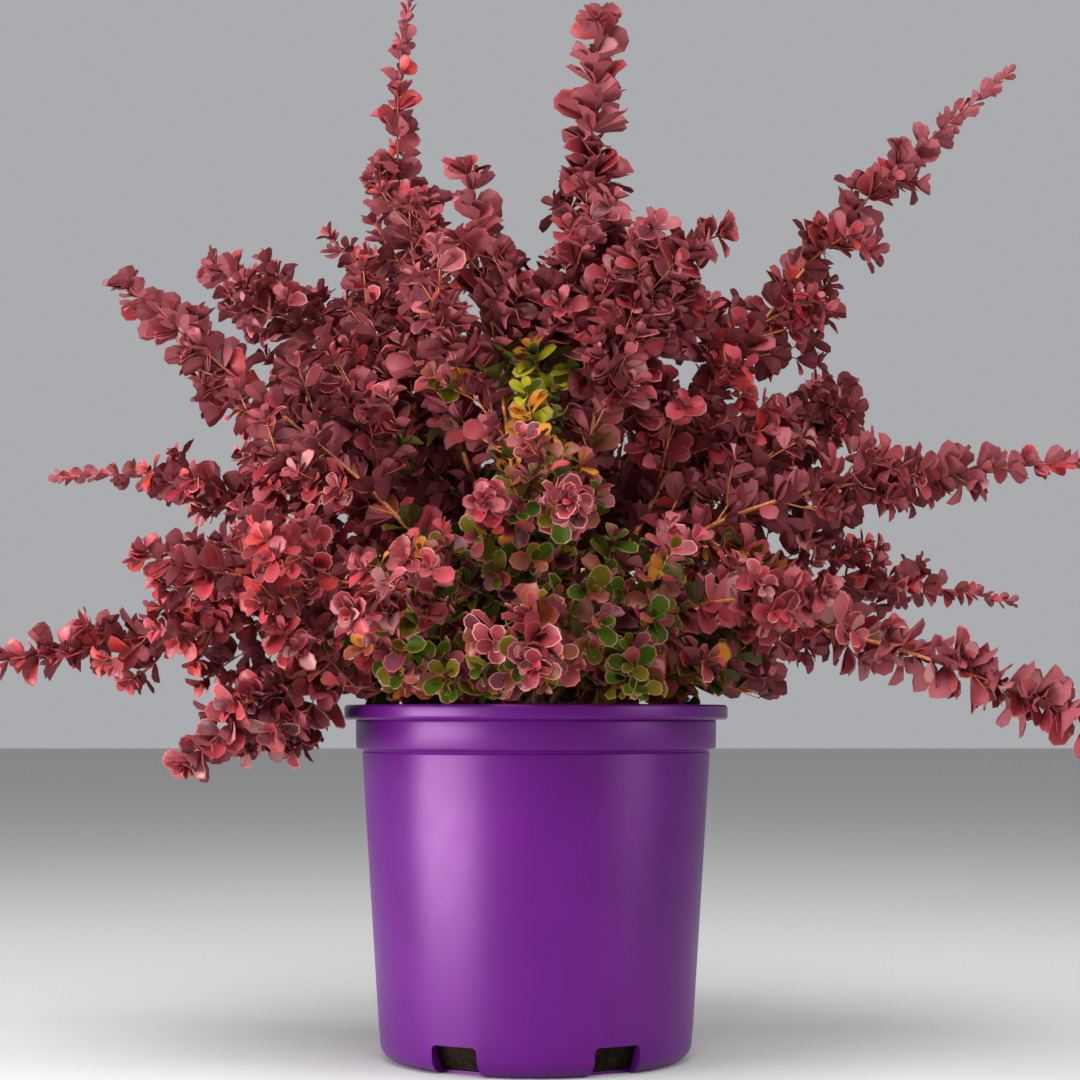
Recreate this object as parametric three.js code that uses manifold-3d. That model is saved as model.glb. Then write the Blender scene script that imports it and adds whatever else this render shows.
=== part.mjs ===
// A barberry with wine-red leaves in its round nursery pot, in millimetres with +Z up.
// The origin is the centre of the pot's flat underside, and -Y is the side that faces the viewer.
// The shrub's foot is hidden by leaves, so a short stem stands inside. Canes leave it in tiers. Each
// long cane starts as a bare tapering bough, and its outer part is a mass of foliage: one stem with
// side twigs, and leaves with their roots sunk in the wood.
import * as THREE from "three";
import { mergeVertices } from "three/addons/utils/BufferGeometryUtils.js";
import Module from "manifold-3d";

const wasm = await Module();
wasm.setup();

// Pot
const potHeight = 211;
const potSides = 40;
const wall = 1.8;
const undersideRadius = 82.5;
const cornerHeight = 24;
const footRadius = 94.4;
const shoulderRadius = 104;
const bandBottom = 185;
const bandRadius = 107.6;
const lipBottom = 202.4;
const lipRadius = 114.6;
const notchCount = 6;
const notchWidth = 30;
const notchHeight = 17.5;
const notchDepth = 34;

// Soil and the short stem that carries the canes
const soilTop = 191;
const gap = 0.35;
const stemFlareRadius = 29;
const stemDomeRadius = 24;
const stemDomeHeight = 8;

// Canes: where each tier leaves the stem, how stiffly it keeps its first direction and its tip's
// direction, and how thick it is there
const tiers = {
  spire: { rise: 78, firstBearing: 70, stiffness: 0.4, girth: 2.6 },
  crest: { rise: 62, firstBearing: 12, stiffness: 0.42, girth: 2.4 },
  low: { rise: 40, firstBearing: 10, stiffness: 0.4, girth: 2.5 },
  skirt: { rise: 14, firstBearing: 24, stiffness: 0.35, girth: 1.8 },
};
const boughShare = 0.2;
const longestBareless = 255;
const tipGirth = 0.9;

// Each cane's tip: its bearing from +X, anticlockwise from above, its reach from the middle, its
// height over the pot's underside, its slope there, the length of its unbranched spike, its leaf
const canes = {
  spire: [
    { name: "back_spire", bearing: 95, reach: 150, height: 475, slope: 62, spike: 90, leaf: 22 },
    { name: "left_spire", bearing: 159, reach: 82, height: 647, slope: 102, spike: 190, leaf: 18 },
    { name: "inner_spire", bearing: 225, reach: 56, height: 525, slope: 78, spike: 90, leaf: 23 },
    { name: "middle_spire", bearing: 321, reach: 48, height: 616, slope: 85, spike: 170, leaf: 24 },
  ],
  crest: [
    { name: "right_spire", bearing: 8, reach: 295, height: 602, slope: 39, spike: 150, leaf: 21 },
    { name: "right_crest", bearing: 27, reach: 222, height: 417, slope: 34, spike: 40, leaf: 22 },
    { name: "back_right_crest", bearing: 58, reach: 218, height: 400, slope: 22, spike: 50, leaf: 22 },
    { name: "back_tuft", bearing: 92, reach: 225, height: 340, slope: 8, spike: 50, leaf: 22 },
    { name: "back_left_crest", bearing: 124, reach: 225, height: 410, slope: 25, spike: 60, leaf: 22 },
    { name: "left_crest", bearing: 160, reach: 219, height: 490, slope: 30, spike: 70, leaf: 22 },
    { name: "left_shoulder", bearing: 187, reach: 244, height: 459, slope: 42, spike: 90, leaf: 22 },
    { name: "left_short", bearing: 206, reach: 245, height: 295, slope: 18, spike: 60, leaf: 20 },
    { name: "front_left_tuft", bearing: 261, reach: 172, height: 319, slope: 8, spike: 40, leaf: 23 },
    { name: "front_tuft", bearing: 275, reach: 215, height: 313, slope: -5, spike: 50, leaf: 24 },
    { name: "right_shoulder", bearing: 327, reach: 128, height: 479, slope: 8, spike: 70, leaf: 23 },
    { name: "right_long", bearing: 349, reach: 332, height: 352, slope: 5, spike: 150, leaf: 22 },
  ],
  low: [
    { name: "right_lance", bearing: 11, reach: 302, height: 276, slope: -11, spike: 110, leaf: 18 },
    { name: "back_right_low", bearing: 44, reach: 265, height: 280, slope: -5, spike: 80, leaf: 21 },
    { name: "back_low", bearing: 84, reach: 285, height: 235, slope: -20, spike: 90, leaf: 22 },
    { name: "back_left_low", bearing: 127, reach: 285, height: 291, slope: 0, spike: 90, leaf: 21 },
    { name: "left_lance", bearing: 168, reach: 307, height: 354, slope: -5, spike: 120, leaf: 19 },
    { name: "left_long", bearing: 189, reach: 345, height: 233, slope: -5, spike: 120, leaf: 20 },
    { name: "left_drooping", bearing: 205, reach: 218, height: 176, slope: -42, spike: 70, leaf: 22 },
    { name: "front_left_low", bearing: 242, reach: 205, height: 257, slope: -5, spike: 50, leaf: 23 },
    { name: "front_drooping", bearing: 270, reach: 240, height: 227, slope: -38, spike: 60, leaf: 24 },
    { name: "front_right_low", bearing: 313, reach: 225, height: 269, slope: 0, spike: 60, leaf: 22 },
    { name: "right_drooping", bearing: 340, reach: 378, height: 182, slope: -19, spike: 150, leaf: 23 },
  ],
};
const skirtNames = [
  "right", "back_right", "back", "back_left", "left", "front_left", "front", "front_right",
];
const skirtReaches = [146, 112];
const skirtHeights = [231, 235];
const skirtSlope = 8;
const skirtLeaf = 22;

// Foliage
const stemStep = 48;
const coreStep = 30;
const coreSides = 6;
const coreGirth = 22;
const shortestCore = 40;
const leafStep = 0.41;
const leafOpening = 56;
const leafRoll = 60;
const leafWidth = 1;
const leafThickness = 0.06;
const tipLeafShare = 0.52;
const tipTaper = 65;
const spikeLeafGrowth = 1.45;
const moundLeafGrowth = 2.15;
const twigStep = 38;
const twigOpening = 58;
const twigGirthShare = 0.5;
const shortestTwig = 14;
const longestTwig = 95;
const ownSpaceMargin = 2;

const radians = THREE.MathUtils.degToRad;
const upward = new THREE.Vector3(0, 0, 1);

// A repeatable run of numbers from 0 to 1
function numbersFrom(seed) {
  let state = (seed * 7919) % 2147483647;
  return () => {
    state = (state * 16807) % 2147483647;
    return state / 2147483647;
  };
}

function headingTo(bearing, elevation) {
  const b = radians(bearing);
  const e = radians(elevation);
  return new THREE.Vector3(Math.cos(b) * Math.cos(e), Math.sin(b) * Math.cos(e), Math.sin(e));
}

// A closed three.js geometry with only its positions, its shared vertices merged
function closed(geometry, tolerance = 1e-4) {
  const bare = geometry.clone();
  bare.deleteAttribute("normal");
  bare.deleteAttribute("uv");
  return mergeVertices(bare, tolerance);
}

function toSolid(geometry, tolerance = 1e-4) {
  const merged = closed(geometry, tolerance);
  const mesh = new wasm.Mesh({
    numProp: 3,
    vertProperties: new Float32Array(merged.attributes.position.array),
    triVerts: new Uint32Array(merged.index.array),
  });
  return new wasm.Manifold(mesh);
}

function toGeometry(solid) {
  const mesh = solid.getMesh();
  const geometry = new THREE.BufferGeometry();
  geometry.setAttribute("position", new THREE.BufferAttribute(mesh.vertProperties, 3));
  geometry.setIndex(new THREE.BufferAttribute(mesh.triVerts, 1));
  return geometry;
}

// The body of a fused solid, without slivers, loose scraps and sealed hollows
function mainBody(solid) {
  const even = toSolid(toGeometry(solid.simplify(0.01)), 1e-3);
  return even.decompose().reduce((best, piece) => (piece.volume() > best.volume() ? piece : best));
}

// True where each edge lies between two faces only, also after its corners are rounded
function isSound(solid) {
  const { vertProperties, triVerts } = solid.getMesh();
  const rounded = Array.from(vertProperties, (x) => Math.round(x * 1e4));
  const corners = Array.from(triVerts, (v) => rounded.slice(3 * v, 3 * v + 3).join());
  const edges = new Set();
  for (let i = 0; i < corners.length; i++) {
    const edge = `${corners[i]} ${corners[i % 3 < 2 ? i + 1 : i - 2]}`;
    if (edges.has(edge)) return false;
    edges.add(edge);
  }
  return true;
}

// Pieces fused on to the first one, leaving out a piece that would only touch along an edge
function fused(pieces) {
  const solids = pieces.map((piece) => toSolid(piece));
  const whole = mainBody(wasm.Manifold.union(solids));
  if (isSound(whole)) return whole;
  return solids.reduce((body, piece) => {
    const more = mainBody(body.add(piece));
    return isSound(more) ? more : body;
  });
}

// A lathe turned about Z, from a profile of [radius, height] pairs that starts and ends on the axis
function turned(profile, sides) {
  const points = profile.map(([radius, height]) => new THREE.Vector2(radius, height));
  return new THREE.LatheGeometry(points, sides).rotateX(Math.PI / 2);
}

// Two directions across a shoot, square to it and to each other, rolled round it by an angle
function crossing(along, side, roll) {
  const across = side.clone().addScaledVector(along, -side.dot(along)).normalize();
  const over = new THREE.Vector3().crossVectors(across, along);
  return [
    across.clone().multiplyScalar(Math.cos(roll)).addScaledVector(over, Math.sin(roll)),
    over.clone().multiplyScalar(Math.cos(roll)).addScaledVector(across, -Math.sin(roll)),
  ];
}

// A limb along a curve: a slim lathe with a ring for each radius, bent to the curve between two of
// its shares. Both its ends are flat, or pointed where the radius is zero.
function limb(curve, side, roll, from, to, radii, sides) {
  const profile = radii.map((radius, i) => new THREE.Vector2(radius, i / (radii.length - 1)));
  if (radii[0] > 0) profile.unshift(new THREE.Vector2(0, 0));
  if (radii.at(-1) > 0) profile.push(new THREE.Vector2(0, 1));
  const geometry = closed(new THREE.LatheGeometry(profile, sides));
  const place = geometry.attributes.position;
  for (let i = 0; i < place.count; i++) {
    const share = from + (to - from) * place.getY(i);
    const [across, over] = crossing(curve.getTangentAt(share), side, roll);
    const point = curve.getPointAt(share);
    point.addScaledVector(across, place.getX(i)).addScaledVector(over, place.getZ(i));
    place.setXYZ(i, point.x, point.y, point.z);
  }
  return geometry;
}

function tapering(start, end, steps) {
  return Array.from({ length: steps + 1 }, (_, i) => start + ((end - start) * i) / steps);
}

// A leaf: five corners round a flat face, narrow at its root, with a keel under its middle
function leafShape(leaf) {
  const geometry = closed(new THREE.ConeGeometry(1, 1, 5, 1, false, -Math.PI / 2));
  const over = new THREE.Vector3().crossVectors(leaf.heading, leaf.across);
  const place = geometry.attributes.position;
  for (let i = 0; i < place.count; i++) {
    const x = place.getX(i);
    const along = (x + 1 + 0.5 * (1 - x * x)) * 0.5 * (leaf.length + leaf.sunk) - leaf.sunk;
    const point = leaf.root.clone().addScaledVector(leaf.heading, along);
    point.addScaledVector(leaf.across, place.getZ(i) * 0.5 * leafWidth * leaf.length);
    point.addScaledVector(over, -(place.getY(i) + 0.5) * leafThickness * leaf.length);
    place.setXYZ(i, point.x, point.y, point.z);
  }
  return geometry;
}

function pot() {
  const inner = (radius) => radius - wall;
  const outside = [
    [0, 0],
    [undersideRadius, 0],
    [undersideRadius + 7.5, 3.2],
    [footRadius - 0.8, cornerHeight - 13],
    [footRadius, cornerHeight],
    [shoulderRadius, bandBottom - 2],
    [bandRadius, bandBottom],
    [bandRadius, lipBottom],
    [lipRadius, lipBottom + 0.8],
    [lipRadius, potHeight - 1.6],
    [lipRadius - 2, potHeight],
  ];
  const inside = [
    [inner(bandRadius), potHeight],
    [inner(shoulderRadius), bandBottom - 2],
    [inner(footRadius), cornerHeight],
    [inner(undersideRadius), wall],
    [0, wall],
  ];
  let solid = toSolid(turned([...outside, ...inside], potSides));
  for (let i = 0; i < notchCount; i++) {
    const notch = new THREE.BoxGeometry(notchDepth, notchWidth, notchHeight * 2);
    notch.translate(footRadius - 15 + notchDepth / 2, 0, 0);
    notch.rotateZ(radians(60 * i));
    solid = solid.subtract(toSolid(notch));
  }
  return toGeometry(mainBody(solid));
}

function soil() {
  const clear = wall + 1.6 * gap;
  const rise = (soilTop - bandBottom + 2) / (potHeight - bandBottom + 2);
  const profile = [
    [0, wall + gap],
    [undersideRadius - clear - 1, wall + gap],
    [footRadius - clear, cornerHeight],
    [shoulderRadius - clear, bandBottom - 2],
    [shoulderRadius + (bandRadius - shoulderRadius) * rise - clear, soilTop],
    [0, soilTop],
  ];
  return turned(profile, potSides);
}

const stemFoot = soilTop + gap;
const stemCentre = new THREE.Vector3(0, 0, stemFoot + stemDomeHeight);

function stemBase() {
  const profile = [
    [0, stemFoot],
    [stemFlareRadius, stemFoot],
    [stemDomeRadius, stemFoot + stemDomeHeight],
  ];
  const rings = 4;
  for (let i = 1; i <= rings; i++) {
    const angle = (i / rings) * (Math.PI / 2);
    const radius = i < rings ? stemDomeRadius * Math.cos(angle) : 0;
    profile.push([radius, stemCentre.z + stemDomeRadius * Math.sin(angle)]);
  }
  return turned(profile, 20);
}

// A cane's curve from the stem to its tip, and what follows from it. Its turn is its place round the
// stem among the canes of its tier.
function planned(cane, tier, turn) {
  const leaving = headingTo(tier.firstBearing + 360 * turn, tier.rise);
  const start = stemCentre.clone().addScaledVector(leaving, stemDomeRadius + gap);
  const tip = headingTo(cane.bearing, 0).multiplyScalar(cane.reach).setZ(cane.height);
  const pull = start.distanceTo(tip) * tier.stiffness;
  const first = start.clone().addScaledVector(leaving, pull);
  const second = tip.clone().addScaledVector(headingTo(cane.bearing, cane.slope), -pull);
  const curve = new THREE.CubicBezierCurve3(start, first, second, tip);
  const length = curve.getLength();
  return {
    ...cane,
    curve,
    length,
    side: headingTo(cane.bearing + 90, 0),
    girth: tier.girth,
    bare: length > longestBareless ? boughShare : 0,
    axis: curve.getSpacedPoints(48),
  };
}

// The whole plan of canes: those listed, then the short skirt round the foot
function planCanes() {
  const skirt = skirtNames.map((name, i) => ({
    name: `skirt_${name}`,
    bearing: tiers.skirt.firstBearing + (360 / skirtNames.length) * i,
    reach: skirtReaches[i % 2],
    height: skirtHeights[i % 2],
    slope: skirtSlope,
    spike: 0,
    leaf: skirtLeaf,
  }));
  return Object.entries({ ...canes, skirt }).flatMap(([tierName, members]) =>
    members.map((cane, i) => planned(cane, tiers[tierName], i / members.length)),
  );
}

const plan = planCanes();

function distanceTo(cane, point) {
  let best = Infinity;
  for (let i = 0; i + 1 < cane.axis.length; i++) {
    const a = cane.axis[i];
    const step = cane.axis[i + 1].clone().sub(a);
    const away = point.clone().sub(a);
    const share = THREE.MathUtils.clamp(away.dot(step) / step.lengthSq(), 0, 1);
    best = Math.min(best, away.addScaledVector(step, -share).length());
  }
  return best;
}

// True where every point is nearer to its own cane than to any other one
function inOwnSpace(cane, points) {
  return points.every((point) => {
    const own = distanceTo(cane, point) + 2 * ownSpaceMargin;
    return plan.every((other) => other === cane || distanceTo(other, point) > own);
  });
}

// True where the points all lie above the rim, or all inside it over the soil, or all outside it
function clearOfPot(points) {
  const radius = (point) => Math.hypot(point.x, point.y);
  const above = (point) => point.z > potHeight + 2.5;
  const within = (point) => radius(point) < bandRadius - wall - 2 && point.z > soilTop + 1.5;
  const beyond = (point) => radius(point) > lipRadius + 2;
  if (points.every(above)) return true;
  return points.every(within) || points.every(beyond);
}

function clearOfStem(points) {
  return points.every((point) => point.distanceTo(stemCentre) > stemFlareRadius + 2);
}

function girthOf(cane, share) {
  return cane.girth + (tipGirth - cane.girth) * Math.pow(share, 0.8);
}

// The direction that opens from a shoot by an angle, over one of the shoot's three faces
function openedFrom(along, shoot, face, opening) {
  const [across, over] = crossing(along, shoot.side, shoot.roll);
  const turn = radians(30 + 120 * face);
  const outward = across.multiplyScalar(Math.cos(turn)).addScaledVector(over, Math.sin(turn));
  const angle = radians(opening);
  return outward.multiplyScalar(Math.sin(angle)).addScaledVector(along, Math.cos(angle));
}

// Samples of a leaf's midrib and both its edges
function leafSamples(leaf) {
  const samples = [];
  for (const along of [0.25, 0.5, 0.75, 1]) {
    const half = (along < 1 ? 0.5 : 0.3) * leafWidth * leaf.length;
    for (const out of [-half, 0, half]) {
      const point = leaf.root.clone().addScaledVector(leaf.heading, along * leaf.length);
      samples.push(point.addScaledVector(leaf.across, out));
    }
  }
  return samples;
}

// Leaves that climb a shoot over its faces between two of its places, smaller towards its tip.
// A leaf that has no room at its full length is tried once at a shorter one.
function leavesAlong(cane, shoot, from, to, leafLength, next) {
  const leaves = [];
  let face = Math.floor(3 * next());
  for (let at = to; at > from; at -= leafStep * leafLength) {
    const fullness = Math.min(1, tipLeafShare + ((1 - tipLeafShare) * (to - at)) / shoot.tapers);
    const along = shoot.alongAt(at);
    const heading = openedFrom(along, shoot, face, leafOpening * (0.5 + 0.5 * fullness));
    const upper = along.clone().addScaledVector(upward, 0.6);
    const across = new THREE.Vector3().crossVectors(upper, heading).normalize();
    across.applyAxisAngle(heading, radians(leafRoll * (2 * next() - 1)));
    const length = leafLength * fullness * (0.9 + 0.2 * next());
    const root = shoot.placeAt(at).addScaledVector(heading, shoot.coreAt(at) * 0.9);
    const leaf = { root, heading, across, length, sunk: shoot.girthAt(at) * 0.12 };
    face += next() < 0.5 ? 1 : 2;
    for (const size of [length, length * 0.72]) {
      leaf.length = size;
      const samples = leafSamples(leaf);
      if (!clearOfPot(samples) || !clearOfStem(samples) || !inOwnSpace(cane, samples)) continue;
      leaves.push(leafShape(leaf));
      break;
    }
  }
  return leaves;
}

// The part of a cane that bears leaves, as straight runs between the rings of its stem
function leafyStem(cane, roll) {
  const start = cane.bare > 0 ? cane.bare + gap / cane.length : 0;
  const steps = Math.max(3, Math.round((cane.length * (1 - start)) / stemStep));
  const ringPoint = (i) => cane.curve.getPointAt(start + ((1 - start) * i) / steps);
  const radii = tapering(girthOf(cane, start), tipGirth, steps);
  return {
    solid: limb(cane.curve, cane.side, roll, start, 1, radii, 3),
    side: cane.side,
    roll,
    tapers: tipTaper,
    placeAt: (at) => {
      const ring = THREE.MathUtils.clamp(((at / cane.length - start) / (1 - start)) * steps, 0, steps);
      const before = Math.min(Math.floor(ring), steps - 1);
      return ringPoint(before).lerp(ringPoint(before + 1), ring - before);
    },
    alongAt: (at) => cane.curve.getTangentAt(at / cane.length),
    girthAt: (at) => girthOf(cane, at / cane.length),
    coreAt: () => 0,
    firstLeaf: start * cane.length + (cane.bare > 0 ? 6 : 30),
  };
}

// The smaller core of a dense mass: a spindle round its stem that keeps to the mass's own space
function core(cane, stem, from, to, next) {
  const steps = Math.max(2, Math.round((to - from) / coreStep));
  const radii = [0];
  for (let i = 1; i < steps; i++) {
    const share = i / steps;
    const at = from + (to - from) * share;
    let radius = coreGirth * Math.sqrt(Math.sin(Math.PI * share)) * (0.75 + 0.5 * next());
    const ringFits = () => {
      const [across, over] = crossing(stem.alongAt(at), stem.side, 0);
      const ring = [];
      for (let angle = 0; angle < 2 * Math.PI; angle += Math.PI / 4) {
        const point = cane.curve.getPointAt(at / cane.length);
        point.addScaledVector(across, (radius + 1.5) * Math.cos(angle));
        ring.push(point.addScaledVector(over, (radius + 1.5) * Math.sin(angle)));
      }
      return clearOfPot(ring) && inOwnSpace(cane, ring);
    };
    while (radius > cane.girth && !ringFits()) radius *= 0.85;
    radii.push(radius);
  }
  radii.push(0);
  stem.coreAt = (at) => {
    const place = THREE.MathUtils.clamp(((at - from) / (to - from)) * steps, 0, steps);
    const before = Math.min(Math.floor(place), steps - 1);
    return THREE.MathUtils.lerp(radii[before], radii[before + 1], place - before);
  };
  return limb(cane.curve, cane.side, 0, from / cane.length, to / cane.length, radii, coreSides);
}

// A straight side twig, shortened until it keeps to its cane's own space
function sideTwig(cane, place, along, heading, longest, girth, roll) {
  const pointAt = (out) => place.clone().addScaledVector(heading, out);
  const fits = (out) => {
    const points = [0.15, 0.3, 0.45, 0.6, 0.8, 1].map((part) => pointAt(out * part + 3));
    return clearOfPot(points) && inOwnSpace(cane, points);
  };
  let length = longest;
  while (length > shortestTwig && !fits(length)) length -= 6;
  if (length <= shortestTwig) return null;
  const line = new THREE.LineCurve3(place, pointAt(length));
  return {
    solid: limb(line, along, roll, 0, 1, [girth, girth * 0.6], 3),
    side: along,
    roll,
    tapers: 1,
    placeAt: pointAt,
    alongAt: () => heading,
    girthAt: () => girth * 0.7,
    coreAt: () => 0,
    length,
  };
}

// One mass of foliage: its stem and core, its side twigs and all their leaves
function foliage(cane, index) {
  const next = numbersFrom(index + 11);
  const stem = leafyStem(cane, 2 * next());
  const spikeStart = Math.max(cane.length - cane.spike, stem.firstLeaf);
  const pieces = [stem.solid];
  const moundLeaf = cane.leaf * moundLeafGrowth;
  if (spikeStart - stem.firstLeaf > shortestCore) {
    pieces.push(core(cane, stem, stem.firstLeaf, spikeStart, next));
  }
  const spikeLeaf = cane.leaf * spikeLeafGrowth;
  pieces.push(...leavesAlong(cane, stem, spikeStart, cane.length - 4, spikeLeaf, next));
  pieces.push(...leavesAlong(cane, { ...stem, tapers: 0.1 }, stem.firstLeaf, spikeStart, moundLeaf, next));
  let face = 0;
  for (let at = spikeStart - 8; at > stem.firstLeaf + 30; at -= twigStep * (0.85 + 0.3 * next())) {
    face += next() < 0.5 ? 1 : 2;
    const along = stem.alongAt(at);
    const heading = openedFrom(along, stem, face, twigOpening);
    const longest = Math.min(longestTwig, 38 + 0.5 * (spikeStart - at)) * (0.8 + 0.4 * next());
    const girth = stem.girthAt(at) * twigGirthShare;
    const twig = sideTwig(cane, stem.placeAt(at), along, heading, longest, girth, 2 * next());
    if (!twig) continue;
    pieces.push(twig.solid);
    const firstLeaf = Math.max(twig.length * 0.35, stem.coreAt(at) + 4);
    pieces.push(...leavesAlong(cane, twig, firstLeaf, twig.length - 1.5, moundLeaf, next));
  }
  return toGeometry(fused(pieces));
}

function bough(cane) {
  const radii = tapering(cane.girth, girthOf(cane, cane.bare), 2);
  return limb(cane.curve, cane.side, 0, 0, cane.bare, radii, 5);
}

// Assembly
const potPlastic = new THREE.MeshStandardMaterial({ color: 0x7a2f92, roughness: 0.4, metalness: 0 });
const soilCrumb = new THREE.MeshStandardMaterial({ color: 0x2b211b, roughness: 0.95, metalness: 0 });
const bark = new THREE.MeshStandardMaterial({ color: 0x6f4a30, roughness: 0.8, metalness: 0 });
const leafRed = new THREE.MeshStandardMaterial({ color: 0x7d2f3c, roughness: 0.6, metalness: 0 });

const shrub = new THREE.Group();

function add(name, geometry, material) {
  const mesh = new THREE.Mesh(geometry, material.clone());
  mesh.name = name;
  shrub.add(mesh);
}

add("pot", pot(), potPlastic);
add("soil", soil(), soilCrumb);
add("stem_base", stemBase(), bark);
plan.forEach((cane, index) => {
  if (cane.bare > 0) add(`bough_${cane.name}`, bough(cane), bark);
  add(`foliage_${cane.name}`, foliage(cane, index), leafRed);
});

export default shrub;
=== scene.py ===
# A barberry with wine-red leaves in its purple nursery pot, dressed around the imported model.
# Lengths are in metres. The plan of canes repeats the one in the part's source, in millimetres.
import math
import random

import bmesh
import bpy
import numpy as np
from mathutils import Matrix, Vector, kdtree, noise
from mathutils.geometry import interpolate_bezier


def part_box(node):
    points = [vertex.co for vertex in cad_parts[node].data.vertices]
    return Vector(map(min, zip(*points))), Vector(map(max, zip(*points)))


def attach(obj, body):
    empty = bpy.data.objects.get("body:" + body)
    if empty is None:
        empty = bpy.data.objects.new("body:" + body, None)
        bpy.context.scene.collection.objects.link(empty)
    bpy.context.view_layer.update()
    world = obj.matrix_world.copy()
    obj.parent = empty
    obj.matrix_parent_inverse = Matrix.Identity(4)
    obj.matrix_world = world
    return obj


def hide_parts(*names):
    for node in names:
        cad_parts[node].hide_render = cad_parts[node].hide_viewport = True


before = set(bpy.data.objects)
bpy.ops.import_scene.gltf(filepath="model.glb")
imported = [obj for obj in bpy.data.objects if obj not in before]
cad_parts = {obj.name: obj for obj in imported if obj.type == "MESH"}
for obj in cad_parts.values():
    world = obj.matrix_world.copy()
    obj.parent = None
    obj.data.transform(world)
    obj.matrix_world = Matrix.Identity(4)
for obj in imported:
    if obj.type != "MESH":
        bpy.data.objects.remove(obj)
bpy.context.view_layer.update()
scene = bpy.context.scene
mm = 0.001
upward = Vector((0, 0, 1))


# Shader helpers

def linear(hexColour):
    # A colour written as in a paint program, as the linear values that a shader takes
    parts = [int(hexColour[i:i + 2], 16) / 255 for i in (0, 2, 4)]
    return (*[p / 12.92 if p <= 0.04045 else ((p + 0.055) / 1.055) ** 2.4 for p in parts], 1)


class Wire:
    # A value socket that adds Math nodes when it stands in an expression
    def __init__(self, finish, socket):
        self.finish = finish
        self.socket = socket

    def maths(self, operation, *values):
        return self.finish.node("ShaderNodeMath", {"operation": operation}, dict(enumerate(values)))

    def __add__(self, other):
        return self.maths("ADD", self, other)

    def __mul__(self, other):
        return self.maths("MULTIPLY", self, other)

    __radd__ = __add__
    __rmul__ = __mul__


class Finish:
    # A material: a Principled shader with its fixed values set on its own sockets
    def __init__(self, name, colour, **fixed):
        self.material = bpy.data.materials.new(name)
        self.material.use_nodes = True
        self.material.diffuse_color = linear(colour)
        self.tree = self.material.node_tree
        self.shader = self.tree.nodes["Principled BSDF"]
        self.shader.inputs["Base Color"].default_value = linear(colour)
        for socket, value in fixed.items():
            self.shader.inputs[socket.replace("_", " ")].default_value = value

    def node(self, kind, settings, inputs, output=0):
        made = self.tree.nodes.new(kind)
        for setting, value in settings.items():
            setattr(made, setting, value)
        for socket, value in inputs.items():
            if isinstance(value, Wire):
                self.tree.links.new(value.socket, made.inputs[socket])
            else:
                made.inputs[socket].default_value = value
        return Wire(self, made.outputs[output])

    def place(self, stretch):
        # Object coordinates, stretched where a pattern runs along a piece
        where = self.node("ShaderNodeTexCoord", {}, {}, "Object")
        return self.node("ShaderNodeMapping", {}, {"Vector": where, "Scale": stretch})

    def grain(self, scale, detail, stretch=(1, 1, 1), roughness=0.5):
        inputs = {"Vector": self.place(stretch), "Scale": scale, "Detail": detail,
                  "Roughness": roughness}
        return self.node("ShaderNodeTexNoise", {}, inputs)

    def between(self, share, low, high):
        # A value run from 0 at low to 1 at high
        inputs = {"Value": share, "From Min": low, "From Max": high}
        return self.node("ShaderNodeMapRange", {"clamp": True}, inputs)

    def blended(self, share, first, second):
        inputs = {0: share, 6: linear(first), 7: linear(second)}
        return self.node("ShaderNodeMix", {"data_type": "RGBA"}, inputs, 2)

    def feed(self, socket, wire):
        self.tree.links.new(wire.socket, self.shader.inputs[socket])

    def relief(self, height, depth, strength=1.0):
        inputs = {"Height": height, "Distance": depth, "Strength": strength}
        self.feed("Normal", self.node("ShaderNodeBump", {}, inputs))


# Mesh helpers

def pieceFrom(name, mesh, finishes, nodes=()):
    # A finished piece: it rides on the one body and stands for the nodes that it replaces
    piece = bpy.data.objects.new(name, mesh)
    scene.collection.objects.link(piece)
    for finish in finishes:
        mesh.materials.append(finish.material)
    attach(piece, "root")
    if nodes:
        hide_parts(*nodes)
    return piece


def meshFrom(shape, name):
    mesh = bpy.data.meshes.new(name)
    shape.to_mesh(mesh)
    shape.free()
    return mesh


def spunWall(profile, steps):
    # A closed body turned from a line of (radius, height) pairs, whose ends lie on the axis
    shape = bmesh.new()
    line = [shape.verts.new((radius, 0, height)) for radius, height in profile]
    edges = [shape.edges.new(pair) for pair in zip(line, line[1:])]
    bmesh.ops.spin(shape, geom=line + edges, axis=upward, cent=(0, 0, 0), angle=2 * math.pi,
                   steps=steps, use_merge=True)
    bmesh.ops.remove_doubles(shape, verts=shape.verts, dist=1e-6)
    bmesh.ops.recalc_face_normals(shape, faces=shape.faces)
    return shape


def bevelSharp(shape, offset, segments, least):
    # Softens the edges where two faces meet at more than the least angle, in degrees
    sharp = [e for e in shape.edges if len(e.link_faces) == 2
             and e.calc_face_angle(0) > math.radians(least)]
    bmesh.ops.bevel(shape, geom=sharp, offset=offset, offset_type="OFFSET", affect="EDGES",
                    segments=segments, profile=0.5, material=-1, clamp_overlap=True)


def arc(centre, radius, first, last, steps):
    # Points of an arc in the (radius, height) plane, its angles in degrees
    angles = [math.radians(first + (last - first) * i / steps) for i in range(steps + 1)]
    return [(centre[0] + radius * math.cos(a), centre[1] + radius * math.sin(a)) for a in angles]


# Pot

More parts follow.
